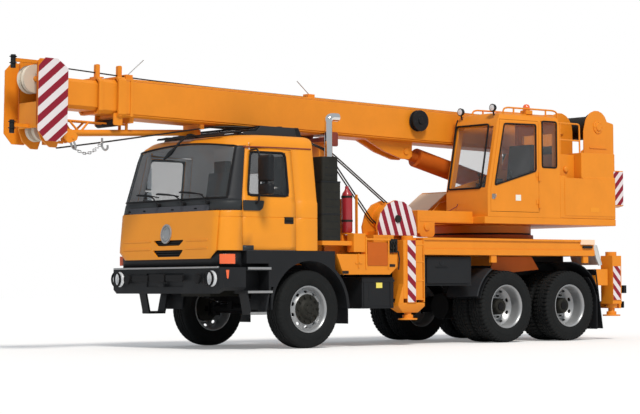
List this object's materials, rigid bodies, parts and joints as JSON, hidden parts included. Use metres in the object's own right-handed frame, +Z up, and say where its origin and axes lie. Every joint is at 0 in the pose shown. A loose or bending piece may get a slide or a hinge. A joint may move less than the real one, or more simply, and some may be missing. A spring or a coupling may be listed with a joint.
{
  "type": "mobile crane",
  "caption": "Telescopic mobile crane on a truck chassis, with a slewing superstructure, crane cab, luffing boom, lift cylinder, winch, outriggers and a forward-control truck cab.",
  "frame": {"origin": "on the ground under the middle of the overall length and width", "axes": "+X towards the truck cab's front, +Y to the vehicle's left, +Z up"},
  "size_m": [10.6049, 3.18, 3.7758],
  "materials": {
    "black_plastic": "matte",
    "bottle_red": "gloss",
    "chassis_black": "satin",
    "chrome_rod": "polished",
    "clear_glass": "clear",
    "crane_orange": "gloss",
    "dark_metal": "matte",
    "drum_dark": "matte",
    "hook_white": "satin",
    "lamp_glass": "clear",
    "rim_silver": "satin",
    "seat_fabric": "matte",
    "sheave_beige": "satin",
    "steel": "brushed",
    "tyre_rubber": "matte"
  },
  "bodies": {
    "carrier": {"chassis_frame": "chassis_black", "engine": "dark_metal", "front_bumper": "crane_orange", "head_lamps": "lamp_glass", "truck_cab": "crane_orange", "cab_glass": "clear_glass", "grille_panel": "crane_orange", "cab_interior": "seat_fabric", "roof_rack": "black_plastic", "mudguards": "black_plastic", "side_boxes": "black_plastic", "exhaust": "dark_metal", "red_bottle": "bottle_red", "deck": "crane_orange", "slew_ring": "crane_orange", "hook_block": "hook_white", "axles_and_springs": "chassis_black"},
    "superstructure": {"turret": "crane_orange", "crane_cab": "crane_orange", "crane_cab_glass": "clear_glass", "crane_seat": "seat_fabric", "machine_housings": "crane_orange", "counterweight": "crane_orange"},
    "crane_door": {"crane_door": "crane_orange", "crane_door_glass": "clear_glass"},
    "winch_drum": {"winch_drum": "drum_dark"},
    "boom_base": {"boom_base": "crane_orange", "jib": "dark_metal"},
    "boom_mid": {"boom_mid": "crane_orange"},
    "boom_tip": {"boom_tip": "crane_orange", "head_sheaves": "sheave_beige"},
    "lift_barrel": {"lift_barrel": "crane_orange"},
    "lift_rod": {"lift_rod": "chrome_rod"},
    "door_left": {"door_left": "crane_orange", "door_glass_left": "clear_glass"},
    "knuckle_left": {"knuckle_left": "chassis_black"},
    "front_wheel_left": {"tyre_front_left": "tyre_rubber", "rim_front_left": "rim_silver"},
    "twin_wheels_1_left": {"twin_tyres_1_left": "tyre_rubber", "twin_rims_1_left": "rim_silver"},
    "twin_wheels_2_left": {"twin_tyres_2_left": "tyre_rubber", "twin_rims_2_left": "rim_silver"},
    "outrigger_front_left": {"outrigger_front_left": "crane_orange"},
    "jack_front_left": {"jack_front_left": "steel"},
    "outrigger_rear_left": {"outrigger_rear_left": "crane_orange"},
    "jack_rear_left": {"jack_rear_left": "steel"},
    "door_right": {"door_right": "crane_orange", "door_glass_right": "clear_glass"},
    "knuckle_right": {"knuckle_right": "chassis_black"},
    "front_wheel_right": {"tyre_front_right": "tyre_rubber", "rim_front_right": "rim_silver"},
    "twin_wheels_1_right": {"twin_tyres_1_right": "tyre_rubber", "twin_rims_1_right": "rim_silver"},
    "twin_wheels_2_right": {"twin_tyres_2_right": "tyre_rubber", "twin_rims_2_right": "rim_silver"},
    "outrigger_front_right": {"outrigger_front_right": "crane_orange"},
    "jack_front_right": {"jack_front_right": "steel"},
    "outrigger_rear_right": {"outrigger_rear_right": "crane_orange"},
    "jack_rear_right": {"jack_rear_right": "steel"}
  },
  "joints": [
    {"name": "slew", "type": "hinge", "parent": "carrier", "child": "superstructure", "pos_m": [-2.96, 0, 1.605], "axis": [0, 0, 1], "continuous": true},
    {"name": "luff", "type": "hinge", "parent": "superstructure", "child": "boom_base", "pos_m": [-4.4, 0, 3.22], "axis": [0, -1, 0], "range_deg": [0, 78]},
    {"name": "telescope_mid", "type": "slide", "parent": "boom_base", "child": "boom_mid", "axis": [0.9997, 0, 0.0236], "range_m": [0, 5.6]},
    {"name": "telescope_tip", "type": "slide", "parent": "boom_mid", "child": "boom_tip", "axis": [0.9997, 0, 0.0236], "range_m": [0, 5.6]},
    {"name": "lift_pin", "type": "hinge", "parent": "boom_base", "child": "lift_barrel", "pos_m": [-1.33907, 0, 2.792], "axis": [0, -1, 0], "range_deg": [-6.5, 0]},
    {"name": "lift_stroke", "type": "slide", "parent": "lift_barrel", "child": "lift_rod", "axis": [-0.9714, 0, -0.2376], "range_m": [0, 1.48]},
    {"name": "winch", "type": "hinge", "parent": "superstructure", "child": "winch_drum", "pos_m": [-4.91, 0, 3.28], "axis": [0, 1, 0], "continuous": true},
    {"name": "crane_door_hinge", "type": "hinge", "parent": "superstructure", "child": "crane_door", "pos_m": [-2.95, 1.265, 2.3], "axis": [0, 0, 1], "range_deg": [0, 75]},
    {"name": "door_hinge_left", "type": "hinge", "parent": "carrier", "child": "door_left", "pos_m": [2.53, 1.24, 1.7], "axis": [0, 0, -1], "range_deg": [0, 65]},
    {"name": "steer_left", "type": "hinge", "parent": "carrier", "child": "knuckle_left", "pos_m": [1.4, 0.88, 0.522], "axis": [0, 0, 1], "range_deg": [-33, 33]},
    {"name": "front_wheel_spin_left", "type": "hinge", "parent": "knuckle_left", "child": "front_wheel_left", "pos_m": [1.4, 1.06, 0.522], "axis": [0, 1, 0], "continuous": true},
    {"name": "twin_wheels_spin_1_left", "type": "hinge", "parent": "carrier", "child": "twin_wheels_1_left", "pos_m": [-2.3, 0.914, 0.522], "axis": [0, 1, 0], "continuous": true},
    {"name": "twin_wheels_spin_2_left", "type": "hinge", "parent": "carrier", "child": "twin_wheels_2_left", "pos_m": [-3.62, 0.914, 0.522], "axis": [0, 1, 0], "continuous": true},
    {"name": "beam_front_left", "type": "slide", "parent": "carrier", "child": "outrigger_front_left", "axis": [0, 1, 0], "range_m": [0, 1.2]},
    {"name": "jack_front_left", "type": "slide", "parent": "outrigger_front_left", "child": "jack_front_left", "axis": [0, 0, -1], "range_m": [0, 0.5]},
    {"name": "beam_rear_left", "type": "slide", "parent": "carrier", "child": "outrigger_rear_left", "axis": [0, 1, 0], "range_m": [0, 1.2]},
    {"name": "jack_rear_left", "type": "slide", "parent": "outrigger_rear_left", "child": "jack_rear_left", "axis": [0, 0, -1], "range_m": [0, 0.5]},
    {"name": "door_hinge_right", "type": "hinge", "parent": "carrier", "child": "door_right", "pos_m": [2.53, -1.24, 1.7], "axis": [0, 0, 1], "range_deg": [0, 65]},
    {"name": "steer_right", "type": "hinge", "parent": "carrier", "child": "knuckle_right", "pos_m": [1.4, -0.88, 0.522], "axis": [0, 0, 1], "range_deg": [-33, 33]},
    {"name": "front_wheel_spin_right", "type": "hinge", "parent": "knuckle_right", "child": "front_wheel_right", "pos_m": [1.4, -1.06, 0.522], "axis": [0, 1, 0], "continuous": true},
    {"name": "twin_wheels_spin_1_right", "type": "hinge", "parent": "carrier", "child": "twin_wheels_1_right", "pos_m": [-2.3, -0.914, 0.522], "axis": [0, 1, 0], "continuous": true},
    {"name": "twin_wheels_spin_2_right", "type": "hinge", "parent": "carrier", "child": "twin_wheels_2_right", "pos_m": [-3.62, -0.914, 0.522], "axis": [0, 1, 0], "continuous": true},
    {"name": "beam_front_right", "type": "slide", "parent": "carrier", "child": "outrigger_front_right", "axis": [0, -1, 0], "range_m": [0, 1.2]},
    {"name": "jack_front_right", "type": "slide", "parent": "outrigger_front_right", "child": "jack_front_right", "axis": [0, 0, -1], "range_m": [0, 0.5]},
    {"name": "beam_rear_right", "type": "slide", "parent": "carrier", "child": "outrigger_rear_right", "axis": [0, -1, 0], "range_m": [0, 1.2]},
    {"name": "jack_rear_right", "type": "slide", "parent": "outrigger_rear_right", "child": "jack_rear_right", "axis": [0, 0, -1], "range_m": [0, 0.5]}
  ],
  "couplings": [
    {"joint": "telescope_tip", "follows": "telescope_mid", "ratio": 1},
    {"joint": "lift_pin", "follows": "luff", "ratio": -0.08},
    {"joint": "lift_stroke", "follows": "luff", "m_per_rad": 1.08},
    {"joint": "steer_right", "follows": "steer_left", "ratio": 1}
  ]
}
